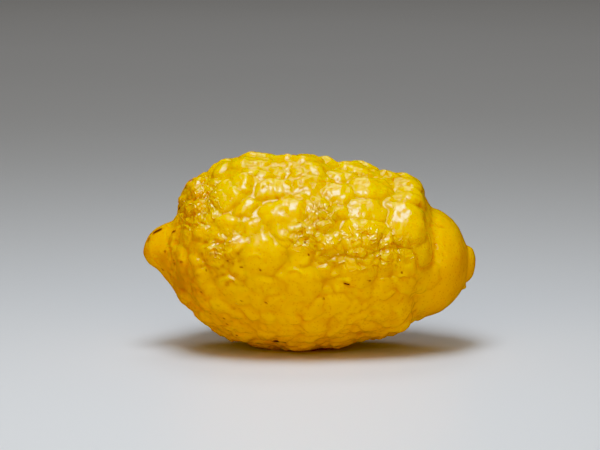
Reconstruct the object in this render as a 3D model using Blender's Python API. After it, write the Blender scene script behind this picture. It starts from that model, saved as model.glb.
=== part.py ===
"""A whole citron: one solid fruit with a smooth nub at its flower end, a warty body and a
smooth collar dome with a low round stem button at the other end.

Metres, +Z up. The fruit lies along X, the nub at -X and the stem button at +X, and -Y is the
side that shows in the picture. The origin is under the middle of the fruit, on the surface
that it lies on.
"""

import math

import bmesh
import bpy
import numpy as np
from mathutils import Vector

MM = 0.001

# The body's own outline, without its bosses, at stations from the nub's tip to the stem end.
# Each row: top x, top distance from the axis, underside x, underside distance from the axis.
OUTLINE_MM = (
    (-64.9, 0.0, -64.9, 0.0),
    (-62.6, 6.6, -63.0, 4.3),
    (-58.3, 10.3, -59.1, 7.4),
    (-53.8, 12.2, -55.4, 11.9),
    (-50.7, 15.4, -51.3, 17.0),
    (-48.2, 20.4, -46.2, 21.8),
    (-43.6, 28.5, -40.4, 27.5),
    (-39.2, 29.8, -36.6, 29.2),
    (-35.2, 33.4, -32.6, 30.8),
    (-25.2, 37.2, -23.2, 34.3),
    (-13.5, 36.1, -12.7, 36.9),
    (-1.8, 37.1, -1.8, 37.5),
    (9.9, 33.6, 9.6, 36.4),
    (21.6, 32.4, 20.1, 33.8),
    (32.2, 30.0, 29.0, 32.5),
    (40.5, 28.3, 35.0, 29.8),
    (44.6, 22.4, 37.6, 26.7),
    (47.4, 17.9, 41.0, 25.7),
    (51.0, 16.3, 44.5, 25.7),
    (54.6, 13.7, 49.4, 24.6),
    (57.6, 10.3, 54.2, 21.5),
    (60.0, 5.2, 58.6, 16.4),
    (61.4, 1.6, 61.5, 10.2),
    (62.4, 0.0, 62.4, 0.0),
)
SAMPLES_PER_STATION = 24
# The furrow round the collar runs straight down the sides, then slants back underneath.
SLANT_REACH = 1.1

# The side of the picture, seen from slightly above: how far down the eye looks.
EYE_TILT = math.radians(8)
# Bosses on that side: along the fruit, up from its axis, and the radius inside its creases.
BOSSES_MM = (
    # The skyline, from the nub to the collar
    (-46.6, 21.6, 3.0),
    (-43.4, 26.5, 3.9),
    (-33.8, 33.0, 4.2),
    (-26.3, 35.0, 4.8),
    (-19.9, 35.3, 4.6),
    (-10.6, 35.6, 5.6),
    (-2.4, 35.8, 5.6),
    (6.6, 33.9, 4.7),
    (17.0, 32.2, 5.9),
    (24.9, 31.0, 3.5),
    (31.0, 29.4, 4.3),
    (39.6, 26.7, 4.8),
    # The upper side, towards the nub
    (-31.8, 22.8, 6.2),
    (-25.8, 27.7, 4.2),
    (-21.3, 30.8, 3.5),
    (-41.1, 22.4, 3.4),
    (-37.6, 26.3, 3.1),
    (-45.3, 18.2, 3.4),
    (-40.8, 17.4, 3.2),
    (-46.9, 12.5, 3.1),
    (-42.3, 12.6, 2.8),
    (-37.2, 13.6, 4.3),
    (-30.1, 10.9, 4.7),
    (-23.3, 18.6, 4.3),
    (-22.0, 9.4, 3.9),
    # The upper side, in the middle
    (-17.0, 30.3, 3.4),
    (-12.2, 30.9, 2.9),
    (-5.3, 30.9, 2.6),
    (-2.4, 26.9, 2.6),
    (-4.9, 22.6, 2.9),
    (-9.2, 14.0, 7.6),
    (-11.9, 6.4, 4.6),
    (0.2, 9.2, 3.1),
    (-0.2, 3.9, 2.8),
    # The upper side, towards the collar
    (12.3, 23.4, 5.1),
    (7.9, 14.4, 3.2),
    (8.4, 9.9, 3.4),
    (21.6, 16.3, 5.8),
    (38.2, 21.4, 5.4),
    (33.7, 19.0, 2.8),
    (36.9, 10.5, 8.2),
    (19.7, 5.5, 7.6),
    (30.5, 3.4, 4.7),
    (6.4, 3.1, 5.1),
    (43.3, 1.8, 5.1),
    # The belly, along the middle
    (-52.0, 5.9, 3.2),
    (-46.6, 6.2, 4.2),
    (-40.0, 7.0, 3.5),
    (-49.3, -2.0, 5.4),
    (-35.7, -2.2, 4.3),
    (-27.2, 2.0, 4.6),
    (-18.4, 0.0, 7.3),
    (-4.9, 0.0, 5.0),
    (-43.0, -5.0, 3.5),
    (-34.1, -6.8, 3.2),
    (-25.8, -6.7, 4.3),
    (-18.4, -10.6, 4.2),
    (-3.7, -10.8, 7.0),
    (6.4, -7.3, 3.6),
    (18.4, -4.7, 6.2),
    (29.7, -4.5, 4.7),
    (37.2, -4.3, 4.3),
    (44.4, -10.9, 5.1),
    # The belly, lower down
    (-47.2, -9.4, 3.4),
    (-40.0, -9.4, 3.2),
    (-38.4, -13.6, 3.1),
    (-30.2, -12.9, 4.3),
    (-24.8, -17.2, 3.9),
    (-13.4, -16.1, 3.2),
    (-18.5, -17.9, 3.4),
    (11.0, -12.2, 3.9),
    (18.5, -13.6, 3.9),
    (27.8, -13.3, 4.7),
    (36.0, -12.9, 4.3),
    (-40.8, -19.0, 3.4),
    (-34.0, -20.3, 3.4),
    (-7.6, -19.8, 3.6),
    (1.0, -19.8, 3.9),
    (10.7, -20.2, 5.0),
    (19.7, -18.4, 3.4),
    (27.9, -22.2, 4.2),
    (37.0, -21.7, 5.1),
    # Towards the surface that it lies on
    (-30.2, -23.1, 3.2),
    (-23.2, -23.5, 3.4),
    (-16.6, -25.0, 3.5),
    (-7.6, -25.4, 4.2),
    (2.0, -25.6, 3.6),
    (13.5, -25.7, 3.5),
    (20.0, -24.0, 3.4),
    (-35.7, -26.2, 3.1),
    (-28.2, -28.2, 3.4),
    (-17.6, -31.8, 4.0),
    (-9.0, -31.4, 4.7),
    (1.5, -31.0, 5.0),
    (11.8, -30.6, 4.2),
    (21.5, -28.9, 4.3),
    (32.4, -28.2, 3.9),
)
# Long bosses on that side: the same, then length over width and how far the length is turned
# up from the fruit's axis, in degrees.
LONG_BOSSES_MM = (
    (-13.9, 25.0, 3.9, 2.0, 25),
    (1.6, 28.4, 2.7, 1.6, 80),
    (6.6, 28.2, 2.7, 1.6, 105),
    (3.2, 19.9, 2.8, 1.8, 90),
    (11.9, 16.4, 3.1, 1.4, 0),
    (23.6, 24.9, 6.2, 1.3, -35),
)
# Bosses elsewhere are thrown at random, the large ones first, and kept where there is room.
BOSS_SEED = 7
BOSS_THROWS = ((7.4, 600), (5.8, 1200), (4.6, 2400))
BOSS_ROOM = 0.84
# No wider than this share of the fruit's own radius there, so the ends stay slim
BOSS_WIDEST = 0.24
THROWN_FROM_X = -52 * MM
THROWN_TO_X = 43 * MM
# A boss is a dome a little wider than the space inside its creases.
BOSS_SPREAD = 1.22
# The bosses turn from soft and low underneath to bold on top over this height.
UPPER_REACH = 19 * MM
UPPER_SHIFT = 0.85
# Their crowns are rounder underneath and flatter on top.
BOSS_CURVE_BELOW = 2.0
BOSS_CURVE_ABOVE = 2.6
# No boss is quite round or of quite the same height as the next.
BOSS_STRETCH = (1.0, 1.35)
BOSS_UNEVEN = (0.8, 1.15)
CREASE_SHARPNESS_BELOW = 1.5 / MM
CREASE_SHARPNESS_ABOVE = 6.0 / MM
# Height over radius
BOSS_RISE_BELOW = 0.17
BOSS_RISE_ABOVE = 0.32
# Bosses with a hollow in their crown: along the fruit, up, radius and depth of the hollow.
HOLLOWS_MM = (
    (-9.6, 15.0, 2.3, 0.9),
    (-7.4, 27.0, 2.2, 1.2),
    (20.8, 6.2, 2.3, 0.9),
    (18.6, -4.1, 2.4, 0.7),
    (38.0, 11.6, 2.0, 0.5),
    (-35.6, 1.0, 2.4, 0.9),
    (51.5, -0.6, 2.0, 0.35),
)
# Slow swells all over the body: length and height
SWELL_SEED = 3
SWELLS_MM = ((34.0, 0.35), (15.0, 0.25))
# The bosses' outlines wander: length and size of the wandering
WANDER_SEED = 5
WANDERS_MM = ((11.0, 1.1), (5.2, 0.35))
WAVES = 14

# The stem button: a low lens with a steep rim, a little below the axis.
BUTTON_DROP = 5.0 * MM
BUTTON_RADIUS = 7.6 * MM
BUTTON_HEIGHT = 2.4 * MM
BUTTON_CURVE = 2.7
# A bead of dried gum under the button
BEAD_DROP = 14.0 * MM
BEAD_RADIUS = 1.5 * MM
BEAD_HEIGHT = 1.2 * MM

# How deep the lowest bosses are pressed flat where the fruit lies
REST_CUT = 1.1 * MM

# The sphere grid that the skin is drawn on, and the faces left once it is thinned
GRID_CUTS = 63
SKIN_TRIANGLES = 11400

RIND_COLOUR = (0.72, 0.45, 0.012, 1.0)
RIND_ROUGHNESS = 0.28


def clear_scene():
    for obj in list(bpy.data.objects):
        bpy.data.objects.remove(obj, do_unlink=True)


def smoothstep(value):
    value = np.clip(value, 0.0, 1.0)
    return value * value * (3.0 - 2.0 * value)


def upper_share(points):
    """How far each point belongs to the bold upper half, from 0 to 1."""
    return smoothstep(points[:, 2] / UPPER_REACH + UPPER_SHIFT)


def outline_curve():
    """Smooth outline through the stations, square to the axis at both tips, in metres.

    Returns the share of the way along it, from 0 to 1, and the four columns of OUTLINE_MM.
    """
    rows = np.array(OUTLINE_MM) * MM
    mirror = np.array((1.0, -1.0, 1.0, -1.0))
    rows = np.vstack((rows[1] * mirror, rows, rows[-2] * mirror))
    steps = np.linspace(0.0, 1.0, SAMPLES_PER_STATION, endpoint=False)[:, None]
    spans = []
    for a, b, c, d in zip(rows[:-3], rows[1:-2], rows[2:-1], rows[3:]):
        spans.append(
            b
            + 0.5 * steps * (c - a)
            + steps**2 * (a - 2.5 * b + 2.0 * c - 0.5 * d)
            + steps**3 * (1.5 * (b - c) + 0.5 * (d - a))
        )
    curve = np.vstack((*spans, rows[-2]))
    middle = 0.5 * (curve[:, :2] + curve[:, 2:])
    lengths = np.linalg.norm(np.diff(middle, axis=0), axis=1)
    share = np.concatenate(((0.0,), np.cumsum(lengths))) / lengths.sum()
    return share, curve


class Body:
    """The fruit's form without its bosses, as a surface of share along and angle around."""

    def __init__(self):
        self.share, self.curve = outline_curve()

    def ring(self, share, angle):
        """The x and the distance from the axis at a share of the way along and an angle."""
        top_x, top_r, low_x, low_r = (
            np.interp(share, self.share, column) for column in self.curve.T
        )
        upward = np.sin(angle)
        slant = smoothstep((upward + 1.0) / SLANT_REACH)
        lift = 0.5 * (1.0 + upward)
        return low_x + (top_x - low_x) * slant, low_r + (top_r - low_r) * lift

    def point(self, share, angle):
        """The point of the surface: angle 0 faces -Y, and a quarter turn on is the top."""
        x, radius = self.ring(share, angle)
        return np.stack((x, -radius * np.cos(angle), radius * np.sin(angle)), axis=-1)

    def seen_point(self, along, up):
        """The point of the picture's side at this place along, and up across the line of sight."""
        angle = 0.0
        for _ in range(8):
            x, radius = self.ring(self.share, angle)
            share = float(np.interp(along, x, self.share))
            _, radius = self.ring(share, angle)
            angle = EYE_TILT + math.asin(max(-0.995, min(0.995, up / float(radius))))
        return self.point(share, angle)

    def end_point(self, drop):
        """The point of the collar dome this far below the axis, seen from the stem end."""
        half = len(self.share) * 3 // 4
        below = self.curve[half:, 3][::-1]
        share = float(np.interp(drop, below, self.share[half:][::-1]))
        return self.point(share, -math.pi / 2)


def sphere_grid():
    """A mesh with an even square grid over a unit ball."""
    mesh = bpy.data.meshes.new("skin_grid")
    grid = bmesh.new()
    bmesh.ops.create_cube(grid, size=2.0)
    bmesh.ops.subdivide_edges(grid, edges=grid.edges[:], cuts=GRID_CUTS, use_grid_fill=True)
    for vertex in grid.verts:
        bent = [math.tan(c * math.pi / 4) for c in vertex.co]
        vertex.co = Vector(bent).normalized()
    bmesh.ops.recalc_face_normals(grid, faces=grid.faces[:])
    grid.to_mesh(mesh)
    grid.free()
    return mesh


def read_points(mesh):
    points = np.empty(len(mesh.vertices) * 3, np.float32)
    mesh.vertices.foreach_get("co", points)
    return points.reshape(-1, 3).astype(np.float64)


def write_points(mesh, points):
    mesh.vertices.foreach_set("co", points.astype(np.float32).ravel())
    mesh.update()


def read_normals(mesh):
    normals = np.empty(len(mesh.vertices) * 3, np.float32)
    mesh.vertices.foreach_get("normal", normals)
    return normals.reshape(-1, 3).astype(np.float64)


def thrown_bosses(body, centres, radii):
    """Adds bosses at random places that keep clear of the ones there are."""
    random = np.random.default_rng(BOSS_SEED)
    for size, throws in BOSS_THROWS:
        for _ in range(throws):
            share = random.uniform(0.0, 1.0)
            angle = random.uniform(-math.pi, math.pi)
            radius = size * MM * random.uniform(0.88, 1.12)
            _, reach = body.ring(share, angle)
            centre = body.point(share, angle)
            if radius > BOSS_WIDEST * reach or not THROWN_FROM_X < centre[0] < THROWN_TO_X:
                continue
            gaps = np.linalg.norm(np.array(centres) - centre, axis=1)
            if (gaps > BOSS_ROOM * (np.array(radii) + radius)).all():
                centres.append(centre)
                radii.append(radius)
    return centres, radii


def all_bosses(body):
    """Centre, radius, height, crown curve, length over width and long direction of each boss."""
    rows = [(*row, 0.0, 0.0) for row in BOSSES_MM] + list(LONG_BOSSES_MM)
    centres = [body.seen_point(row[0] * MM, row[1] * MM) for row in rows]
    radii = [row[2] * MM for row in rows]
    centres, radii = thrown_bosses(body, centres, radii)
    centres, radii = np.array(centres), np.array(radii)
    random = np.random.default_rng(BOSS_SEED)
    upper = upper_share(centres)
    rise = BOSS_RISE_BELOW + (BOSS_RISE_ABOVE - BOSS_RISE_BELOW) * upper
    rise *= random.uniform(*BOSS_UNEVEN, len(radii))
    curves = BOSS_CURVE_BELOW + (BOSS_CURVE_ABOVE - BOSS_CURVE_BELOW) * upper
    stretches = random.uniform(*BOSS_STRETCH, len(radii))
    ways = random.normal(size=(len(radii), 3))
    ways /= np.linalg.norm(ways, axis=1)[:, None]
    for number in range(len(BOSSES_MM), len(rows)):
        turn = math.radians(rows[number][4])
        stretches[number] = rows[number][3]
        ways[number] = (math.cos(turn), 0.0, math.sin(turn))
    return centres, radii * BOSS_SPREAD, radii * rise * BOSS_SPREAD, curves, stretches, ways


def bossed_height(points, bosses):
    """How far the bosses raise each point: the highest dome wins, with a rounded crease."""
    step = CREASE_SHARPNESS_ABOVE - CREASE_SHARPNESS_BELOW
    sharpness = CREASE_SHARPNESS_BELOW + step * upper_share(points)
    total = np.ones(len(points))
    for centre, radius, height, curve, stretch, way in zip(*bosses):
        near = np.flatnonzero(np.abs(points[:, 0] - centre[0]) < radius * stretch)
        offset = points[near] - centre
        along = (offset @ way) ** 2 * (1.0 - 1.0 / stretch**2)
        far = np.sqrt((offset**2).sum(axis=1) - along) / radius
        dome = height * np.clip(1.0 - far**curve, 0.0, None)
        total[near] += np.exp(sharpness[near] * dome) - 1.0
    return np.log(total) / sharpness


def hollow_depth(points, body):
    """How far the hollows in some crowns lower each point."""
    depth = np.zeros(len(points))
    for along, up, radius, deep in HOLLOWS_MM:
        centre = body.seen_point(along * MM, up * MM)
        far = np.linalg.norm(points - centre, axis=1) / (radius * MM)
        depth += deep * MM * np.clip(1.0 - far**2, 0.0, 1.0) ** 2
    return depth


def waves(points, seed, lengths_and_sizes):
    """A random unevenness in X, Y and Z: waves in random directions, added up."""
    random = np.random.default_rng(seed)
    total = np.zeros(points.shape)
    for length, size in lengths_and_sizes:
        for _ in range(WAVES):
            way, push = random.normal(size=(2, 3))
            way /= np.linalg.norm(way) * length * MM * random.uniform(0.8, 1.3)
            turn = random.uniform(0.0, 2.0 * math.pi)
            total += np.outer(np.sin(2.0 * math.pi * (points @ way) + turn), push * size * MM)
    return total / math.sqrt(WAVES / 2)


def end_cap(points, centre, radius, height, curve):
    far = np.linalg.norm(points - centre, axis=1) / radius
    return height * np.clip(1.0 - far**curve, 0.0, 1.0)


def shape_skin(mesh):
    """Lays the ball's grid over the fruit, then raises the bosses along the skin's normals."""
    body = Body()
    ball = read_points(mesh)
    share = np.arccos(np.clip(-ball[:, 0], -1.0, 1.0)) / math.pi
    angle = np.arctan2(ball[:, 2], -ball[:, 1])
    points = body.point(share, angle)
    write_points(mesh, points)
    wandered = points + waves(points, WANDER_SEED, WANDERS_MM)
    height = bossed_height(wandered, all_bosses(body)) - hollow_depth(points, body)
    swell = waves(points, SWELL_SEED, SWELLS_MM)[:, 2]
    height += swell * smoothstep((50 * MM - np.abs(points[:, 0])) / (14 * MM))
    button = body.end_point(BUTTON_DROP)
    height += end_cap(points, button, BUTTON_RADIUS, BUTTON_HEIGHT, BUTTON_CURVE)
    bead = body.end_point(BEAD_DROP)
    height += end_cap(points, bead, BEAD_RADIUS, BEAD_HEIGHT, 2.0)
    write_points(mesh, points + read_normals(mesh) * height[:, None])


def thin_skin(obj):
    """Fewer faces where the skin is even, as many as before along its creases."""
    thin = obj.modifiers.new("thin", "DECIMATE")
    thin.ratio = SKIN_TRIANGLES / (2 * len(obj.data.polygons))
    graph = bpy.context.evaluated_depsgraph_get()
    mesh = bpy.data.meshes.new_from_object(obj.evaluated_get(graph))
    obj.modifiers.clear()
    obj.data = mesh


def rest_on_surface(mesh):
    """Sets the lowest bosses flat, with the origin under the middle of the fruit."""
    points = read_points(mesh)
    low, high = points.min(axis=0), points.max(axis=0)
    middle = 0.5 * (low + high)
    write_points(mesh, points - (middle[0], middle[1], low[2] + REST_CUT))
    cut = bmesh.new()
    cut.from_mesh(mesh)
    found = bmesh.ops.bisect_plane(
        cut,
        geom=cut.verts[:] + cut.edges[:] + cut.faces[:],
        dist=1e-7,
        plane_co=(0.0, 0.0, 0.0),
        plane_no=(0.0, 0.0, 1.0),
        clear_inner=True,
    )
    rim = [e for e in found["geom_cut"] if isinstance(e, bmesh.types.BMEdge)]
    bmesh.ops.holes_fill(cut, edges=rim)
    bmesh.ops.triangulate(cut, faces=cut.faces[:])
    bmesh.ops.recalc_face_normals(cut, faces=cut.faces[:])
    cut.to_mesh(mesh)
    cut.free()


def rind_material():
    material = bpy.data.materials.new("citron_rind")
    material.use_nodes = True
    shader = material.node_tree.nodes["Principled BSDF"]
    shader.inputs["Base Color"].default_value = RIND_COLOUR
    shader.inputs["Roughness"].default_value = RIND_ROUGHNESS
    shader.inputs["Metallic"].default_value = 0.0
    shader.inputs["Subsurface Weight"].default_value = 0.3
    shader.inputs["Subsurface Scale"].default_value = 4 * MM
    material.diffuse_color = RIND_COLOUR
    return material


def build():
    clear_scene()
    mesh = sphere_grid()
    shape_skin(mesh)
    citron = bpy.data.objects.new("citron", mesh)
    bpy.context.scene.collection.objects.link(citron)
    thin_skin(citron)
    rest_on_surface(citron.data)
    citron.data.shade_smooth()
    citron.data.set_sharp_from_angle(angle=math.radians(50))
    citron.data.materials.append(rind_material())


build()
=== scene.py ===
"""The looks of a whole citron: a fine skin round its solid, a waxy rind and a plain studio.

The skin has the solid's own form on a finer grid, which is the body's outline and the bosses
that meet in creases, and then what is too small for the solid: pebbling, ripples, wrinkles,
furrows and scars. It stands for the solid's one node and stays inside the solid's box.

Metres, +Z up. The fruit lies along X with its nub at -X, and -Y is the side that shows.
"""

import logging
import math
from dataclasses import dataclass, field
from typing import Any

import bpy
import numpy as np
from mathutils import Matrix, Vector


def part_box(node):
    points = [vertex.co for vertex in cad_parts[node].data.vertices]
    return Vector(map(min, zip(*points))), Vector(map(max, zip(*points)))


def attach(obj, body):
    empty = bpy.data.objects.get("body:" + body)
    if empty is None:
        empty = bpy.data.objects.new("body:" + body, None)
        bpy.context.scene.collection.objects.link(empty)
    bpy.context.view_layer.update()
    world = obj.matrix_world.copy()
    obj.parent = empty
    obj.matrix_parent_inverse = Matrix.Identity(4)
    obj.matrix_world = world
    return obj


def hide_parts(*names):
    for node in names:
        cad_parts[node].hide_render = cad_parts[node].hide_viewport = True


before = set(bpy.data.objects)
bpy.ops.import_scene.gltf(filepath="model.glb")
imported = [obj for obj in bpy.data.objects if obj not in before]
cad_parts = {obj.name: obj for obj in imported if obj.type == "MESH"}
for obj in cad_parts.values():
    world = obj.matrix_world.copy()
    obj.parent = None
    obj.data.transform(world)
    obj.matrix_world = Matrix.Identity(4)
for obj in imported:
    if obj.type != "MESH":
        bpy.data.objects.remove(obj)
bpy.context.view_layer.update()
MM = 0.001
LOG = logging.getLogger("citron")

# How far down the eye looks on to the fruit in the picture
EYE_TILT = math.radians(8)
# From the low soft bosses underneath to the bold upper ones, as heights from the axis
UPPER_SPAN = (-16.15 * MM, 2.85 * MM)
# The mean height of a row of round ridges that are 1 high
MEAN_RIDGE = 0.64

# Shorter names for types that come up often
Array = np.ndarray
Rows = tuple[tuple[float, ...], ...]
Span = tuple[float, float]
Tree = bpy.types.NodeTree
Socket = bpy.types.NodeSocket

# The body's own outline, without its bosses, at stations from the nub's tip to the stem end:
# top x, top distance from the axis, underside x, underside distance from the axis
OUTLINE_MM = (
    (-64.9, 0.0, -64.9, 0.0),
    (-62.6, 6.6, -63.0, 4.3),
    (-58.3, 10.3, -59.1, 7.4),
    (-53.8, 12.2, -55.4, 11.9),
    (-50.7, 15.4, -51.3, 17.0),
    (-48.2, 20.4, -46.2, 21.8),
    (-43.6, 28.5, -40.4, 27.5),
    (-39.2, 29.8, -36.6, 29.2),
    (-35.2, 33.4, -32.6, 30.8),
    (-25.2, 37.2, -23.2, 34.3),
    (-13.5, 36.1, -12.7, 36.9),
    (-1.8, 37.1, -1.8, 37.5),
    (9.9, 33.6, 9.6, 36.4),
    (21.6, 32.4, 20.1, 33.8),
    (32.2, 30.0, 29.0, 32.5),
    (40.5, 28.3, 35.0, 29.8),
    (44.6, 22.4, 37.6, 26.7),
    (47.4, 17.9, 41.0, 25.7),
    (51.0, 16.3, 44.5, 25.7),
    (54.6, 13.7, 49.4, 24.6),
    (57.6, 10.3, 54.2, 21.5),
    (60.0, 5.2, 58.6, 16.4),
    (61.4, 1.6, 61.5, 10.2),
    (62.4, 0.0, 62.4, 0.0),
)
# Bosses on the side that shows: along the fruit, up from its axis, and the radius
BOSSES_MM = (
    # The skyline, from the nub to the collar
    (-46.6, 21.6, 3.0), (-43.4, 26.5, 3.9), (-33.8, 33.0, 4.2), (-26.3, 35.0, 4.8),
    (-19.9, 35.3, 4.6), (-10.6, 35.6, 5.6), (-2.4, 35.8, 5.6), (6.6, 33.9, 4.7),
    (17.0, 32.2, 5.9), (24.9, 31.0, 3.5), (31.0, 29.4, 4.3), (39.6, 26.7, 4.8),
    # The upper side, towards the nub
    (-31.8, 22.8, 6.2), (-25.8, 27.7, 4.2), (-21.3, 30.8, 3.5), (-41.1, 22.4, 3.4),
    (-37.6, 26.3, 3.1), (-45.3, 18.2, 3.4), (-40.8, 17.4, 3.2), (-46.9, 12.5, 3.1),
    (-42.3, 12.6, 2.8), (-37.2, 13.6, 4.3), (-30.1, 10.9, 4.7), (-23.3, 18.6, 4.3),
    (-22.0, 9.4, 3.9),
    # The upper side, in the middle
    (-17.0, 30.3, 3.4), (-12.2, 30.9, 2.9), (-5.3, 30.9, 2.6), (-2.4, 26.9, 2.6),
    (-4.9, 22.6, 2.9), (-9.2, 14.0, 7.6), (-11.9, 6.4, 4.6), (0.2, 9.2, 3.1),
    (-0.2, 3.9, 2.8),
    # The upper side, towards the collar
    (12.3, 23.4, 5.1), (7.9, 14.4, 3.2), (8.4, 9.9, 3.4), (21.6, 16.3, 5.8),
    (38.2, 21.4, 5.4), (33.7, 19.0, 2.8), (36.9, 10.5, 8.2), (19.7, 5.5, 7.6),
    (30.5, 3.4, 4.7), (6.4, 3.1, 5.1), (43.3, 1.8, 5.1),
    # The belly, along the middle
    (-52.0, 5.9, 3.2), (-46.6, 6.2, 4.2), (-40.0, 7.0, 3.5), (-49.3, -2.0, 5.4),
    (-35.7, -2.2, 4.3), (-27.2, 2.0, 4.6), (-18.4, 0.0, 7.3), (-4.9, 0.0, 5.0),
    (-43.0, -5.0, 3.5), (-34.1, -6.8, 3.2), (-25.8, -6.7, 4.3), (-18.4, -10.6, 4.2),
    (-3.7, -10.8, 7.0), (6.4, -7.3, 3.6), (18.4, -4.7, 6.2), (29.7, -4.5, 4.7),
    (37.2, -4.3, 4.3), (44.4, -10.9, 5.1),
    # The belly, lower down
    (-47.2, -9.4, 3.4), (-40.0, -9.4, 3.2), (-38.4, -13.6, 3.1), (-30.2, -12.9, 4.3),
    (-24.8, -17.2, 3.9), (-13.4, -16.1, 3.2), (-18.5, -17.9, 3.4), (11.0, -12.2, 3.9),
    (18.5, -13.6, 3.9), (27.8, -13.3, 4.7), (36.0, -12.9, 4.3), (-40.8, -19.0, 3.4),
    (-34.0, -20.3, 3.4), (-7.6, -19.8, 3.6), (1.0, -19.8, 3.9), (10.7, -20.2, 5.0),
    (19.7, -18.4, 3.4), (27.9, -22.2, 4.2), (37.0, -21.7, 5.1),
    # Towards the surface that it lies on
    (-30.2, -23.1, 3.2), (-23.2, -23.5, 3.4), (-16.6, -25.0, 3.5), (-7.6, -25.4, 4.2),
    (2.0, -25.6, 3.6), (13.5, -25.7, 3.5), (20.0, -24.0, 3.4), (-35.7, -26.2, 3.1),
    (-28.2, -28.2, 3.4), (-17.6, -31.8, 4.0), (-9.0, -31.4, 4.7), (1.5, -31.0, 5.0),
    (11.8, -30.6, 4.2), (21.5, -28.9, 4.3), (32.4, -28.2, 3.9),
)
# Long bosses there: the same, then length over width and how many degrees the length is
# turned up from the fruit's axis
LONG_BOSSES_MM = (
    (-13.9, 25.0, 3.9, 2.0, 25),
    (1.6, 28.4, 2.7, 1.6, 80),
    (6.6, 28.2, 2.7, 1.6, 105),
    (3.2, 19.9, 2.8, 1.8, 90),
    (11.9, 16.4, 3.1, 1.4, 0),
    (23.6, 24.9, 6.2, 1.3, -35),
)
# Hollows in the crowns of some: along, up, the hollow's radius and its depth
HOLLOWS_MM = (
    (-9.6, 15.0, 2.3, 0.9),
    (-7.4, 27.0, 2.2, 1.2),
    (20.8, 6.2, 2.3, 0.9),
    (18.6, -4.1, 2.4, 0.7),
    (38.0, 11.6, 2.0, 0.5),
    (-35.6, 1.0, 2.4, 0.9),
    (51.5, -0.6, 2.0, 0.35),
)
# Curled upper rims of some: middle along and up, the rim's radius and its height
LIPS_MM = (
    (-5.7, -9.6, 3.4, 1.1), (-30.2, -12.9, 3.6, 1.1), (-35.4, 0.0, 1.9, 1.0),
    (-20.6, -3.6, 3.0, 0.6), (-38.5, -5.5, 2.0, 0.6), (8.4, -4.5, 1.4, 0.7),
    (4.9, -7.2, 1.3, 0.8), (9.6, -9.4, 1.2, 0.8), (13.5, -11.2, 1.4, 0.8),
    (18.5, -13.6, 1.1, 0.8), (28.3, -11.2, 1.6, 0.8), (35.3, -10.0, 1.8, 0.8),
    (40.0, -18.4, 1.2, 0.6),
)
# Furrows there: from and to, along and up, then half the width and the depth
FURROWS_MM = (
    # Round the nub and up its neck
    (-54.0, 7.4, -54.5, 0.2, 0.5, 0.9),
    (-54.5, 0.2, -52.4, -7.6, 0.6, 0.7),
    (-53.8, 6.8, -50.0, 10.9, 0.5, 0.45),
    (-51.2, 9.0, -44.6, 7.2, 0.6, 0.4),
    (-48.6, 12.4, -44.0, 9.0, 0.6, 0.5),
    (-49.8, 15.4, -46.8, 20.6, 0.6, 0.5),
    (-45.4, 16.2, -41.6, 22.4, 0.6, 0.5),
    (-42.6, 26.6, -38.0, 28.8, 0.5, 0.4),
    # The collar, and a fold on the dome behind it
    (41.8, 16.4, 45.7, 12.5, 0.6, 0.5),
    (45.7, 12.5, 47.2, 6.8, 0.6, 0.5),
    (47.2, 6.8, 48.2, 0.6, 0.6, 0.4),
    (47.0, 11.3, 52.8, 9.7, 0.7, 0.4),
    # Over the upper right
    (28.6, 32.6, 35.3, 23.5, 0.5, 0.45),
    (31.6, 32.0, 37.4, 26.6, 0.5, 0.4),
    (26.2, 33.0, 31.4, 27.0, 0.5, 0.35),
    (33.8, 20.6, 40.4, 17.7, 0.6, 0.5),
    # Over the upper middle
    (-8.6, 32.8, -2.6, 24.6, 0.5, 0.4),
    (-17.4, 24.2, -9.6, 29.6, 0.6, 0.4),
    (-13.6, 20.8, -3.2, 21.4, 0.6, 0.4),
)
# Scars there: from and to, along and up, and half the scar's width
SCARS_MM = (
    (-52.9, 7.0, -50.9, 7.8, 0.5),
    (-56.0, 0.0, -56.0, 0.4, 0.5),
    (-60.3, 7.6, -58.0, 8.8, 1.0),
    (-62.8, 4.4, -62.5, 5.2, 0.6),
    (-49.6, 16.8, -48.6, 19.6, 0.7),
    (-46.4, 23.6, -46.0, 24.4, 0.7),
    (-44.9, 28.4, -44.5, 28.6, 0.5),
    (-50.9, -17.0, -49.4, -18.7, 0.6),
    (-57.2, -7.0, -56.9, -7.2, 0.5),
    (-13.3, -34.4, -9.9, -34.9, 1.0),
    (12.7, -11.5, 14.5, -11.6, 0.42),
    (42.5, 28.3, 42.8, 28.5, 0.5),
)
# Specks there: along and up
SPECKS_MM = (
    (-1.8, 3.5), (-0.6, -0.8), (45.9, -2.5), (34.6, -7.4),
    (4.9, -17.6), (22.1, -10.2), (-38.8, -6.6), (-41.2, -15.2),
    (-37.7, -23.2), (-32.6, -25.0), (-31.4, -27.3), (-30.6, -29.3),
    (-25.6, -5.3), (-31.0, -3.1), (-47.4, -3.5), (-50.9, -3.1),
    (-50.6, -4.3), (-49.8, -5.1), (-53.7, -9.0), (-18.5, -6.2),
    (-16.6, -18.9), (-25.6, -18.0), (-32.2, -32.6), (-27.5, -30.8),
)
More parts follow.
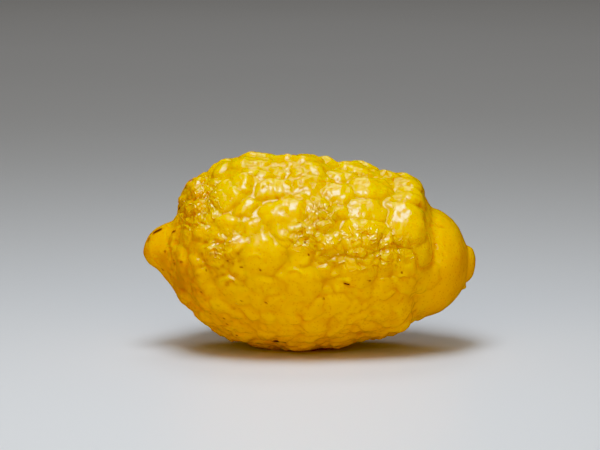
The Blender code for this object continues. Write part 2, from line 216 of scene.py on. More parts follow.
# Brown stains: along, up, reach and strength
STAINS_MM = (
    (-59.5, 8.6, 2.6, 0.9), (-62.5, 4.6, 1.6, 0.9), (-56.4, -3.3, 3.4, 1.0),
    (-50.0, -12.7, 4.6, 1.0), (-47.4, -8.4, 3.6, 0.7), (-50.6, 16.0, 5.5, 0.6),
    (-46.5, 24.0, 6.0, 0.75), (-41.0, 19.0, 9.0, 0.3), (-34.2, 2.0, 1.6, 0.4),
    (-47.0, -22.0, 8.0, 0.3), (-33.0, -28.0, 9.0, 0.22), (42.5, 28.0, 2.0, 0.6),
    (53.7, -0.8, 1.6, 0.35), (37.3, 4.7, 1.2, 0.4), (60.5, -6.0, 5.0, 0.18),
    (19.7, 5.6, 2.0, 0.35), (-8.9, 14.0, 1.3, 0.3), (-57.0, 4.5, 2.2, 0.2),
    (-53.5, 9.5, 3.0, 0.35),
)
# Where the skin is finely wrinkled: along, up, and how far that reaches along and up
WRINKLED_MM = (
    (21.0, 1.0, 27.0, 10.0),
    (-33.0, 2.0, 9.0, 8.0),
    (-2.0, 6.0, 9.0, 8.0),
    (4.0, 13.0, 8.0, 9.0),
    (-43.0, 18.0, 14.0, 15.0),
)


def smoothstep(value: Array | float) -> Array:
    """Soft step from 0 to 1.

    Args:
        value: where along the step, 0 at its foot and 1 at its head.

    Returns:
        The step's height there.
    """
    value = np.clip(value, 0.0, 1.0)
    return value * value * (3.0 - 2.0 * value)


def ramp(values: Array, span: Span) -> Array:
    """Soft step from 0 at the span's first value to 1 at its second."""
    start, end = span
    return smoothstep((values - start) / (end - start))


def at_least(least: float, share: Array) -> Array:
    """Lifts a share that runs from 0 to 1, so that it runs from this least value to 1."""
    return least + (1.0 - least) * share


def upper_share(points: Array) -> Array:
    """Gives how far each point belongs to the bold upper half, from 0 to 1."""
    return ramp(points[:, 2], UPPER_SPAN)


def hex_to_linear(code: str) -> tuple[float, float, float, float]:
    """Turns an sRGB colour code into the linear colour that a shader takes.

    Args:
        code: six hex digits, with or without a leading hash.

    Returns:
        Linear red, green and blue, and an alpha of 1.
    """
    parts = [int(code.lstrip("#")[i : i + 2], 16) / 255 for i in (0, 2, 4)]
    linear = [c / 12.92 if c <= 0.04045 else ((c + 0.055) / 1.055) ** 2.4 for c in parts]
    return linear[0], linear[1], linear[2], 1.0


def fill(tree: Tree, node: bpy.types.Node, values: dict[str | int, Any]) -> None:
    """Sets a node's options and sockets.

    Args:
        tree: the node tree that it is in.
        node: the node.
        values: what they get by name or number, each a value or another node's output.
    """
    for name, value in values.items():
        if isinstance(value, Socket):
            tree.links.new(value, node.inputs[name])
        elif isinstance(name, str) and hasattr(node, name):
            setattr(node, name, value)
        else:
            node.inputs[name].default_value = value


def add_node(
    tree: Tree, kind: str, values: dict[str | int, Any], output: str | int = 0
) -> Socket:
    """Adds one shader node.

    Args:
        tree: the material's node tree.
        kind: the node's type name, without the words that all shader nodes share.
        values: what its options and sockets get.
        output: which of its outputs is wanted.

    Returns:
        That output.
    """
    node = tree.nodes.new(f"ShaderNode{kind}")
    fill(tree, node, values)
    return node.outputs[output]


def soft_step(tree: Tree, value: Socket, start: float, end: float) -> Socket:
    """Adds a soft step from 0 where the value is at the start to 1 where it is at the end."""
    settings = {"interpolation_type": "SMOOTHSTEP", "From Min": start, "From Max": end}
    return add_node(tree, "MapRange", {**settings, "Value": value})


def add_share(tree: Tree, base: float | Socket, share: Socket, amount: float) -> Socket:
    """Adds so much of a share to a value."""
    return add_node(tree, "Math", {"operation": "MULTIPLY_ADD", 0: share, 1: amount, 2: base})


@dataclass(frozen=True)
class Unevenness:
    """Waves in random directions, added up. Each band is a wavelength and a size."""

    seed: int
    bands_mm: tuple[Span, ...]
    waves: int = 14
    spread: Span = (0.8, 1.3)

    def at(self, points: Array) -> Array:
        """Reads the unevenness.

        Args:
            points: places, one row each, in metres.

        Returns:
            A push in X, Y and Z at each place, in metres.
        """
        random = np.random.default_rng(self.seed)
        total = np.zeros(points.shape)
        for length, size in self.bands_mm:
            for _ in range(self.waves):
                way, push = random.normal(size=(2, 3))
                way /= np.linalg.norm(way) * length * MM * random.uniform(*self.spread)
                turn = random.uniform(0.0, 2.0 * math.pi)
                wave = np.sin(2.0 * math.pi * (points @ way) + turn)
                total += np.outer(wave, push * size * MM)
        return total / math.sqrt(self.waves / 2)


@dataclass
class BodyForm:
    """The fruit without its bosses, as a surface of share along and angle around."""

    outline_mm: Rows = OUTLINE_MM
    samples: int = 24
    slant_reach: float = 1.1
    # How near the skyline a point of the side that shows may lie, and the rounds to find it
    skyline: float = 0.995
    rounds: int = 8
    share: Array = field(init=False)
    curve: Array = field(init=False)

    def __post_init__(self) -> None:
        """Draws the smooth outline, square to the axis at both tips."""
        rows = np.array(self.outline_mm) * MM
        mirror = np.array((1.0, -1.0, 1.0, -1.0))
        rows = np.vstack((rows[1] * mirror, rows, rows[-2] * mirror))
        steps = np.linspace(0.0, 1.0, self.samples, endpoint=False)[:, None]
        spans = []
        for a, b, c, d in zip(rows[:-3], rows[1:-2], rows[2:-1], rows[3:]):
            spans.append(
                b
                + 0.5 * steps * (c - a)
                + steps**2 * (a - 2.5 * b + 2.0 * c - 0.5 * d)
                + steps**3 * (1.5 * (b - c) + 0.5 * (d - a))
            )
        self.curve = np.vstack((*spans, rows[-2]))
        middle = 0.5 * (self.curve[:, :2] + self.curve[:, 2:])
        lengths = np.linalg.norm(np.diff(middle, axis=0), axis=1)
        self.share = np.concatenate(((0.0,), np.cumsum(lengths))) / lengths.sum()

    def ring(self, share: Any, angle: Any) -> tuple[Any, Any]:
        """Finds a place on the outline.

        Args:
            share: how far along from the nub's tip, from 0 to 1.
            angle: how far round from -Y towards the top, in radians.

        Returns:
            Its x and its distance from the axis.
        """
        top_x, top_r, low_x, low_r = (
            np.interp(share, self.share, column) for column in self.curve.T
        )
        upward = np.sin(angle)
        slant = smoothstep((upward + 1.0) / self.slant_reach)
        lift = 0.5 * (1.0 + upward)
        return low_x + (top_x - low_x) * slant, low_r + (top_r - low_r) * lift

    def point(self, share: Any, angle: Any) -> Array:
        """Gives the surface's point at a share along and an angle around."""
        x, radius = self.ring(share, angle)
        return np.stack((x, -radius * np.cos(angle), radius * np.sin(angle)), axis=-1)

    def seen_point(self, along: float, up: float) -> Array:
        """Finds the point of the side that shows.

        Args:
            along: how far along the axis, in millimetres.
            up: how far up from the axis, across the line of sight, in millimetres.

        Returns:
            The point of the body's surface, in metres.
        """
        angle = 0.0
        for _ in range(self.rounds):
            x, _ = self.ring(self.share, angle)
            share = float(np.interp(along * MM, x, self.share))
            _, radius = self.ring(share, angle)
            lift = max(-self.skyline, min(self.skyline, up * MM / float(radius)))
            angle = EYE_TILT + math.asin(lift)
        return self.point(share, angle)

    def from_stroke(self, points: Array, stroke: tuple[float, ...]) -> Array:
        """Measures how far points are from a straight stroke or a spot on the side that shows.

        Args:
            points: places, one row each, in metres.
            stroke: its start and end, each along and up, and half its width, in millimetres.

        Returns:
            Each point's distance from the stroke, in half widths.
        """
        start, end = self.seen_point(*stroke[:2]), self.seen_point(*stroke[2:4])
        line = end - start
        share = (points - start) @ line / max(line @ line, 1e-12)
        near = start + np.clip(share, 0.0, 1.0)[:, None] * line
        return np.linalg.norm(points - near, axis=1) / (stroke[4] * MM)

    def end_point(self, drop: float) -> Array:
        """Finds a point of the dome, straight below the tip as seen from the stem end.

        Args:
            drop: how far below the axis it is, in metres.

        Returns:
            The point of the body's surface, in metres.
        """
        half = len(self.share) * 3 // 4
        below = self.curve[half:, 3][::-1]
        share = float(np.interp(drop, below, self.share[half:][::-1]))
        return self.point(share, -math.pi / 2)


@dataclass
class BossField:
    """The bosses: those that the picture shows, and others thrown at random elsewhere."""

    body: BodyForm
    seed: int = 7
    throws: tuple[tuple[float, int], ...] = ((7.4, 600), (5.8, 1200), (4.6, 2400))
    thrown_sizes: Span = (0.88, 1.12)
    room: float = 0.84
    widest: float = 0.24
    thrown_from: float = -52 * MM
    thrown_to: float = 43 * MM
    spread: float = 1.22
    curve_below: float = 2.0
    curve_above: float = 2.6
    stretch: Span = (1.0, 1.35)
    uneven: Span = (0.8, 1.15)
    rise_below: float = 0.17
    rise_above: float = 0.32
    sharpness_below: float = 1.5 / MM
    sharpness_above: float = 6.0 / MM
    crease_width: float = 0.6 * MM
    crown_below: float = 0.6 * MM
    crown_above: float = 1.6 * MM
    valley_fade: float = 5 * MM
    centres: Array = field(init=False)
    sizes: list[tuple[float, float, float, float]] = field(init=False)
    ways: Array = field(init=False)

    def __post_init__(self) -> None:
        """Places every boss and settles its size, height, crown and long direction."""
        rows = [(*row, 0.0, 0.0) for row in BOSSES_MM] + list(LONG_BOSSES_MM)
        centres = [self.body.seen_point(*row[:2]) for row in rows]
        radii = [row[2] * MM for row in rows]
        self._throw(centres, radii)
        self.centres = np.array(centres)
        count = len(radii)
        random = np.random.default_rng(self.seed)
        upper = upper_share(self.centres)
        rise = self.rise_below + (self.rise_above - self.rise_below) * upper
        rise *= random.uniform(*self.uneven, count)
        curves = self.curve_below + (self.curve_above - self.curve_below) * upper
        stretches = random.uniform(*self.stretch, count)
        self.ways = random.normal(size=(count, 3))
        self.ways /= np.linalg.norm(self.ways, axis=1)[:, None]
        for number in range(len(BOSSES_MM), len(rows)):
            turn = math.radians(rows[number][4])
            stretches[number] = rows[number][3]
            self.ways[number] = (math.cos(turn), 0.0, math.sin(turn))
        wide = np.array(radii) * self.spread
        self.sizes = list(zip(wide, wide * rise, curves, stretches))

    def _throw(self, centres: list[Array], radii: list[float]) -> None:
        """Adds bosses at random places that keep clear of the ones there are.

        Args:
            centres: the bosses' places so far, which grows.
            radii: their radii, which grows too.
        """
        random = np.random.default_rng(self.seed)
        for size, throws in self.throws:
            for _ in range(throws):
                share = random.uniform(0.0, 1.0)
                angle = random.uniform(-math.pi, math.pi)
                radius = size * MM * random.uniform(*self.thrown_sizes)
                _, reach = self.body.ring(share, angle)
                centre = self.body.point(share, angle)
                between = self.thrown_from < centre[0] < self.thrown_to
                if radius > self.widest * reach or not between:
                    continue
                gaps = np.linalg.norm(np.array(centres) - centre, axis=1)
                if (gaps > self.room * (np.array(radii) + radius)).all():
                    centres.append(centre)
                    radii.append(radius)

    def relief(self, points: Array) -> tuple[Array, Array]:
        """Raises the skin by the highest dome at each point.

        Args:
            points: places on the body, in metres.

        Returns:
            The height there, and how close the place is to a crease, from 0 to 1.
        """
        step = self.sharpness_above - self.sharpness_below
        sharpness = self.sharpness_below + step * upper_share(points)
        total = np.ones(len(points))
        best = np.zeros(len(points))
        second = np.zeros(len(points))
        for centre, way, size in zip(self.centres, self.ways, self.sizes):
            radius, height, curve, stretch = size
            near = np.flatnonzero(np.abs(points[:, 0] - centre[0]) < radius * stretch)
            offset = points[near] - centre
            along = (offset @ way) ** 2 * (1.0 - 1.0 / stretch**2)
            far = np.sqrt((offset**2).sum(axis=1) - along) / radius
            dome = height * np.clip(1.0 - far**curve, 0.0, None)
            total[near] += np.exp(sharpness[near] * dome) - 1.0
            second[near] = np.maximum(second[near], np.minimum(best[near], dome))
            best[near] = np.maximum(best[near], dome)
        crease = np.exp(-(best - second) / self.crease_width)
        return np.log(total) / sharpness, crease

    def valleys(self, points: Array, height: Array) -> Array:
        """Gives how deep each point lies between the crowns, from 0 to 1, where the rind gets
        painted shade.

        Args:
            points: places on the body, in metres.
            height: how far the bosses raise them.

        Returns:
            1 at the foot of a boss, and 0 on its crown and off the body.
        """
        crown = self.crown_below + (self.crown_above - self.crown_below) * upper_share(points)
        along = points[:, 0]
        between = ramp(along, (self.thrown_from, self.thrown_from + self.valley_fade))
        between *= ramp(along, (self.thrown_to, self.thrown_to - self.valley_fade))
        return between * (1.0 - smoothstep(height / crown))

    def hollows(self, points: Array) -> Array:
        """Presses hollows into some crowns.

        Args:
            points: places on the body, in metres.

        Returns:
            How far each is lowered, in metres.
        """
        depth = np.zeros(len(points))
        for along, up, radius, deep in HOLLOWS_MM:
            far = self.body.from_stroke(points, (along, up, along, up, radius))
            depth += deep * MM * np.clip(1.0 - far**2, 0.0, 1.0) ** 2
        return depth


def read_points(mesh: bpy.types.Mesh, what: str) -> Array:
    """Reads a mesh's vertices.

    Args:
        mesh: the mesh.
        what: "co" for their places, or "normal" for their normals.

    Returns:
        One row for each.
    """
    values = np.empty(len(mesh.vertices) * 3, np.float32)
    mesh.vertices.foreach_get(what, values)
    return values.reshape(-1, 3).astype(np.float64)


def write_points(mesh: bpy.types.Mesh, points: Array) -> None:
    """Moves the mesh's vertices to these places."""
    mesh.vertices.foreach_set("co", points.astype(np.float32).ravel())
    mesh.update()


@dataclass(frozen=True)
class Patch:
    """A soft oval on the side that shows, and its mirror image behind.

    Sizes are in millimetres: the middle along the fruit and up from its axis, and how far it
    reaches along and up.
    """

    along: float
    up: float
    reach_along: float
    reach_up: float
    edge: float = 1.6

    def share(self, points: Array) -> Array:
        """Reads the patch.

        Args:
            points: places on the body, in metres.

        Returns:
            How far each lies in the patch, from 0 to 1.
        """
        up = points[:, 2] * math.cos(EYE_TILT) - np.abs(points[:, 1]) * math.sin(EYE_TILT)
        far = np.hypot(
            (points[:, 0] / MM - self.along) / self.reach_along,
            (up / MM - self.up) / self.reach_up,
        )
        return smoothstep(self.edge * (1.0 - far))


def wrinkled(points: Array) -> Array:
    """Gives how finely wrinkled the skin is at each point, from 0 to 1."""
    return np.maximum.reduce([Patch(*row).share(points) for row in WRINKLED_MM])


@dataclass(frozen=True)
class Folds:
    """Fine folds side by side, with sharp valleys and round ridges.

    Sizes are in millimetres, lean is how far a fold runs up from the fruit's axis, in degrees,
    and bend is how much of the wandering it follows.
    """

    patch: Patch
    spacing: float
    height: float
    lean: float
    bend: float = 2.2

    def at(self, points: Array, wander: Array) -> Array:
        """Raises the folds.

        Args:
            points: places on the body, in metres.
            wander: what bends the folds there, in metres.

        Returns:
            The height at each point, in metres, below 0 in the valleys.
        """
        lean = math.radians(self.lean)
        bent = points + self.bend * wander
        across = bent[:, 2] * math.cos(lean) - bent[:, 0] * math.sin(lean)
        ridge = np.abs(np.sin(math.pi * across / (self.spacing * MM)))
        return self.height * MM * (ridge - MEAN_RIDGE) * self.patch.share(points)


@dataclass(frozen=True)
class Pebbling:
    """Small uneven domes side by side, which meet in valleys."""

    waves: Unevenness
    height: float
    softness: float
    valley_width: float = 0.5
    middle_share: float = 0.4

    def at(self, points: Array) -> tuple[Array, Array]:
        """Raises the domes.

        Args:
            points: places on the body, in metres.

        Returns:
            The height at each point, in metres, and how deep it lies in a valley, from 0 to 1.
        """
        pair = self.waves.at(points)[:, (0, 2)] / MM
        sides = np.sqrt(pair**2 + self.softness**2)
        share = np.sqrt(np.clip(sides.prod(axis=1), 0.0, 1.0))
        meeting = self.middle_share * share + (1.0 - self.middle_share) * np.hypot(*pair.T)
        return self.height * share, 1.0 - smoothstep(meeting / self.valley_width)


@dataclass
class FineRelief:
    """What is too small for the solid, drawn on the skin only."""

    body: BodyForm
    pebbles: Pebbling = Pebbling(
        Unevenness(31, ((10.5, 1.0), (6.0, 0.4)), 24), 0.9 * MM, 0.28, 0.8
    )
    crinkles: Pebbling = Pebbling(Unevenness(37, ((6.6, 1.0), (3.6, 0.4)), 24), 1.1 * MM, 0.05)
    lips_mm: Rows = LIPS_MM
    lip_width: float = 0.62
    lip_reach: float = 0.8
    furrows_mm: Rows = FURROWS_MM
    furrow_boldness: float = 1.35
    ripples: Unevenness = Unevenness(13, ((6.0, 0.11), (3.2, 0.06), (1.9, 0.022)), 20)
    grooves: Unevenness = Unevenness(19, ((6.5, 1.0), (3.4, 0.35)), 20)
    groove_gaps: Unevenness = Unevenness(23, ((12.0, 1.0),), 20)
    groove_depth: float = 0.4 * MM
    groove_width: float = 0.42
    grooved: float = 0.5
    groove_contrast: float = 0.7
    wander: Unevenness = Unevenness(17, ((8.0, 0.6), (3.5, 0.3)))
    folds: tuple[Folds, ...] = (
        Folds(Patch(-43.0, 17.0, 11.0, 13.0), 1.9, 0.4, 52.0),
        Folds(Patch(8.0, 29.0, 17.0, 9.0), 2.1, 0.16, 75.0),
        Folds(Patch(31.0, 24.0, 9.0, 7.0), 2.2, 0.14, -35.0),
        Folds(Patch(-47.0, 3.0, 9.0, 9.0), 2.4, 0.14, 8.0),
    )
    neck_furrows: int = 15
    neck_furrow_height: float = 0.3 * MM
    neck_x: float = -52 * MM
    neck_reach: float = 7 * MM
    underside: Span = (8 * MM, -14 * MM)
    past_nub: Span = (-54 * MM, -48 * MM)
    before_dome: Span = (46 * MM, 41 * MM)
    near_nub: Span = (-34 * MM, -44 * MM)
    least_pebbling: float = 0.1
    least_rippling: float = 0.35
    least_grooving: float = 0.25
    least_lining: float = 0.15

    def grooving(self, points: Array) -> Array:
        """Winds short grooves between and across bosses.

        Args:
            points: places on the body, in metres.

        Returns:
            How deep each lies in them, in metres.
        """
        line = self.grooves.at(points)[:, 2] / MM
        gaps = self.groove_gaps.at(points)[:, 2] / MM
        there = smoothstep(self.grooved + self.groove_contrast * gaps)
        return self.groove_depth * there * np.exp(-((line / self.groove_width) ** 2))

    def lips(self, points: Array) -> Array:
        """Curls the upper rims of a few bosses up.

        Args:
            points: places on the body, in metres.

        Returns:
            The rims' height at each, in metres.
        """
        height = np.zeros(len(points))
        for along, up, radius, rise in self.lips_mm:
            offset = points - self.body.seen_point(along, up)
            far = (np.linalg.norm(offset, axis=1) / MM - radius) / self.lip_width
            above = smoothstep(offset[:, 2] / (self.lip_reach * radius * MM))
            height = np.maximum(height, rise * MM * above * np.exp(-(far**2)))
        return height

    def furrowing(self, points: Array) -> tuple[Array, Array]:
        """Presses single furrows in.

        Args:
            points: places near the body, in metres.

        Returns:
            How deep each point lies in them, in metres, and as a share from 0 to 1.
        """
        depth = np.zeros(len(points))
        share = np.zeros(len(points))
        for *stroke, deep in self.furrows_mm:
            near = np.exp(-(self.body.from_stroke(points, tuple(stroke)) ** 2))
            depth = np.maximum(depth, self.furrow_boldness * deep * MM * near)
            share = np.maximum(share, near)
        return depth, share

    def at(self, points: Array, shaded_valley: Array) -> tuple[Array, Array]:
        """Adds up all the fine relief.

        Args:
            points: places on the body, in metres.
            shaded_valley: how deep each lies between the crowns of the bosses, from 0 to 1.

        Returns:
            The height at each point, in metres, and how deep it lies in a fine valley, from 0
            to 1, which places painted shade in the rind's colour.
        """
        wander = self.wander.at(points)
        low = ramp(points[:, 2], self.underside)
        middle = ramp(points[:, 0], self.past_nub) * ramp(points[:, 0], self.before_dome)
        pebbles, dimples = self.pebbles.at(points)
        crinkles, lines = self.crinkles.at(points)
        lines *= wrinkled(points) * at_least(self.least_lining, ramp(points[:, 0], self.near_nub))
        furrow_depth, furrows = self.furrowing(points + wander)
        # Where the rind's colour gets painted shade: the belly's dimples, the fine wrinkle lines
        # and the furrows
        shaded_fine_valley = np.maximum.reduce((dimples * low * middle, lines, furrows))
        height = pebbles * at_least(self.least_pebbling, low) * middle
        height += crinkles * wrinkled(points) + self.lips(points) - furrow_depth
        height += self.ripples.at(points)[:, 2] * at_least(self.least_rippling, middle)
        for folds in self.folds:
            height += folds.at(points, wander)
        grooving = self.grooving(points) * at_least(self.least_grooving, shaded_valley)
        height -= grooving * upper_share(points) * middle
        angle = np.arctan2(points[:, 2], -points[:, 1])
        furrow = np.abs(np.sin(0.5 * self.neck_furrows * angle + wander[:, 0] / MM))
        near_neck = smoothstep(1.0 - np.abs(points[:, 0] - self.neck_x) / self.neck_reach)
        height += self.neck_furrow_height * (furrow - MEAN_RIDGE) * near_neck
        return height, shaded_fine_valley


@dataclass
class Marks:
    """Scars, specks and brown stains of the side that shows, in millimetres along and up."""

    body: BodyForm
    scars_mm: Rows = SCARS_MM
    specks_mm: tuple[Span, ...] = SPECKS_MM
    speck_mm: float = 0.48
    stains_mm: Rows = STAINS_MM
    scar_edge: float = 1.25
    scar_sharpness: float = 1.4
    freckle_seed: int = 29
    freckles: int = 190
    # Where the freckles start at the nub, how far they reach and how they gather towards it
    freckled_from: float = -55.0
    freckled_reach: float = 30.0
    freckle_gathering: float = 1.6
    freckled_up: Span = (-32.0, 6.0)
    freckle_radii: Span = (0.45, 0.8)
    freckle_strengths: Span = (0.4, 1.0)

    def freckling(self, points: Array) -> Array:
        """Strews small freckles low towards the nub.

        Args:
            points: places on the body, in metres.

        Returns:
            How brown they leave each, from 0 to 1.
        """
        random = np.random.default_rng(self.freckle_seed)
        brown = np.zeros(len(points))
        for _ in range(self.freckles):
            reach = self.freckled_reach * random.uniform(0.0, 1.0) ** self.freckle_gathering
            along = self.freckled_from + reach
            up = random.uniform(*self.freckled_up)
            radius = random.uniform(*self.freckle_radii)
            strength = random.uniform(*self.freckle_strengths)
            far = self.body.from_stroke(points, (along, up, along, up, radius))
            brown = np.maximum(brown, strength * np.exp(-(far**2)))
        return brown

    def scars(self, points: Array) -> Array:
        """Draws the scars and specks.

        Args:
            points: places on the body, in metres.

        Returns:
            How dark they leave each, from 0 to 1.
        """
        dark = np.zeros(len(points))
        specks = tuple((*speck, *speck, self.speck_mm) for speck in self.specks_mm)
        for stroke in self.scars_mm + specks:
            inside = self.scar_edge - self.body.from_stroke(points, stroke)
            dark = np.maximum(dark, smoothstep(self.scar_sharpness * inside))
        return dark

    def stain(self, points: Array) -> Array:
        """Lays the stains.

        Args:
            points: places on the body, in metres.

        Returns:
            How brown they leave each, from 0 to 1.
        """
        brown = np.zeros(len(points))
        for along, up, radius, strength in self.stains_mm:
            far = self.body.from_stroke(points, (along, up, along, up, radius))
            brown += strength * np.exp(-(far**2))
        return np.clip(brown, 0.0, 1.0)


@dataclass
class CitronSkin:
    """The whole fruit's skin, one closed surface."""

    body: BodyForm = field(default_factory=BodyForm)
    first_cuts: int = 63
    second_cuts: int = 1
    swells: Unevenness = Unevenness(3, ((34.0, 0.35), (15.0, 0.25)))
    wanders: Unevenness = Unevenness(5, ((11.0, 1.1), (5.2, 0.35)))
    swell_span: Span = (50 * MM, 36 * MM)
    crease_depth: float = 0.18 * MM
    # How far below the axis each cap's middle is, its radius, its height and its crown's curve
    button: tuple[float, ...] = (5.0 * MM, 7.6 * MM, 2.4 * MM, 2.7)
    bead: tuple[float, ...] = (14.0 * MM, 1.5 * MM, 1.2 * MM, 2.0)
    rest_cut: float = 1.1 * MM
    crease_from: float = 0.3 * MM
    # Painted warm glow in the rind's colour: none at the span's first height, full at its second,
    # standing in for light through the rind and bounced up from the floor
    painted_underside_span: Span = (32 * MM, -34 * MM)
    nub_span: Span = (-34 * MM, -50 * MM)
    stem_span: Span = (43 * MM, 49 * MM)
    stem_ripeness: float = 0.6
    least_stain: float = 0.5

    def build(self, finish: "WaxedRind") -> bpy.types.Object:
        """Makes the skin and dresses it.

        Args:
            finish: the rind that it gets.

        Returns:
            The finished piece.
        """
        skin = self._ball()
        mesh = skin.data
        ball = read_points(mesh, "co")
        share = np.arccos(np.clip(-ball[:, 0], -1.0, 1.0)) / math.pi
        angle = np.arctan2(ball[:, 2], -ball[:, 1])
        points = self.body.point(share, angle)
        write_points(mesh, points)
        field_of_bosses = BossField(self.body)
        bosses, crease = field_of_bosses.relief(points + self.wanders.at(points))
        height = bosses - field_of_bosses.hollows(points)
        fade = ramp(np.abs(points[:, 0]), self.swell_span)
        height += self.swells.at(points)[:, 2] * fade
        height += self._end_cap(points, *self.button) + self._end_cap(points, *self.bead)
        raised = points + read_points(mesh, "normal") * height[:, None]
        write_points(mesh, raised)
        crease *= smoothstep(bosses / self.crease_from) * upper_share(points)
        shaded_valley = field_of_bosses.valleys(points, bosses)
        fine, shaded_fine_valley = FineRelief(self.body).at(points, shaded_valley)
        fine -= self.crease_depth * crease**2
        raised += read_points(mesh, "normal") * fine[:, None]
        write_points(mesh, self._fit_to_solid(raised))
        marks = Marks(self.body)
        stain = marks.stain(points) * at_least(self.least_stain, shaded_fine_valley)
        shares = {
            # Painted warm glow, stronger towards the underside
            "painted_underside": ramp(points[:, 2], self.painted_underside_span),
            "ends": self._end_share(points),
            # Painted shade in the creases
            "crease": crease,
            # Painted shade between the crowns of the bosses
            "shaded_valley": shaded_valley,
            # Painted shade in the dimples, fine wrinkle lines and furrows
            "shaded_fine_valley": shaded_fine_valley,
            "stain": np.maximum(stain, marks.freckling(points)),
            "scar": marks.scars(points),
            "wrinkled": wrinkled(points),
        }
        for name, share in shares.items():
            attribute = mesh.attributes.new(name, "FLOAT", "POINT")
            attribute.data.foreach_set("value", share.astype(np.float32))
        mesh.materials.append(finish.material())
        return skin

    def _ball(self) -> bpy.types.Object:
        """Starts from a cube, cuts it into an even grid and blows it up into a ball.

        Returns:
            The ball, with a radius of 1.
        """
        bpy.ops.object.select_all(action="DESELECT")
        bpy.ops.mesh.primitive_cube_add(size=2.0)
        skin = bpy.context.object
        skin.name = "citron_skin"
        bpy.ops.object.mode_set(mode="EDIT")
        bpy.ops.mesh.select_all(action="SELECT")
        bpy.ops.mesh.subdivide(number_cuts=self.first_cuts)
        bpy.ops.mesh.subdivide(number_cuts=self.second_cuts)
        bpy.ops.object.mode_set(mode="OBJECT")
        bpy.ops.object.shade_smooth()
        bent = np.tan(read_points(skin.data, "co") * math.pi / 4)
        write_points(skin.data, bent / np.linalg.norm(bent, axis=1)[:, None])
        return skin

    def _end_cap(
        self, points: Array, drop: float, radius: float, height: float, curve: float
    ) -> Array:
        """Raises a round cap on the dome.

        Args:
            points: places on the body, in metres.
            drop: how far the cap's middle is below the axis.
            radius: its radius.
            height: how far its middle stands proud.
            curve: how flat its crown is, and how steep its rim.

        Returns:
            The height at each point, in metres.
        """
        far = np.linalg.norm(points - self.body.end_point(drop), axis=1) / radius
        return height * np.clip(1.0 - far**curve, 0.0, 1.0)

    def _end_share(self, points: Array) -> Array:
        """Gives how far each point belongs to the two riper ends, from 0 to 1."""
        stem_end = self.stem_ripeness * ramp(points[:, 0], self.stem_span)
        return np.maximum(ramp(points[:, 0], self.nub_span), stem_end)

    def _fit_to_solid(self, points: Array) -> Array:
        """Moves the skin into the solid's box and presses it flat where the fruit lies.

        Args:
            points: the skin's own places, in metres.

        Returns:
            Their final places.
        """
        low, high = (np.array(corner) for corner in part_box("citron"))
        low[2] -= self.rest_cut
        share = (points - points.min(axis=0)) / np.ptp(points, axis=0)
        fitted = low + share * (high - low)
        fitted[:, 2] = np.maximum(fitted[:, 2], 0.0)
        return fitted


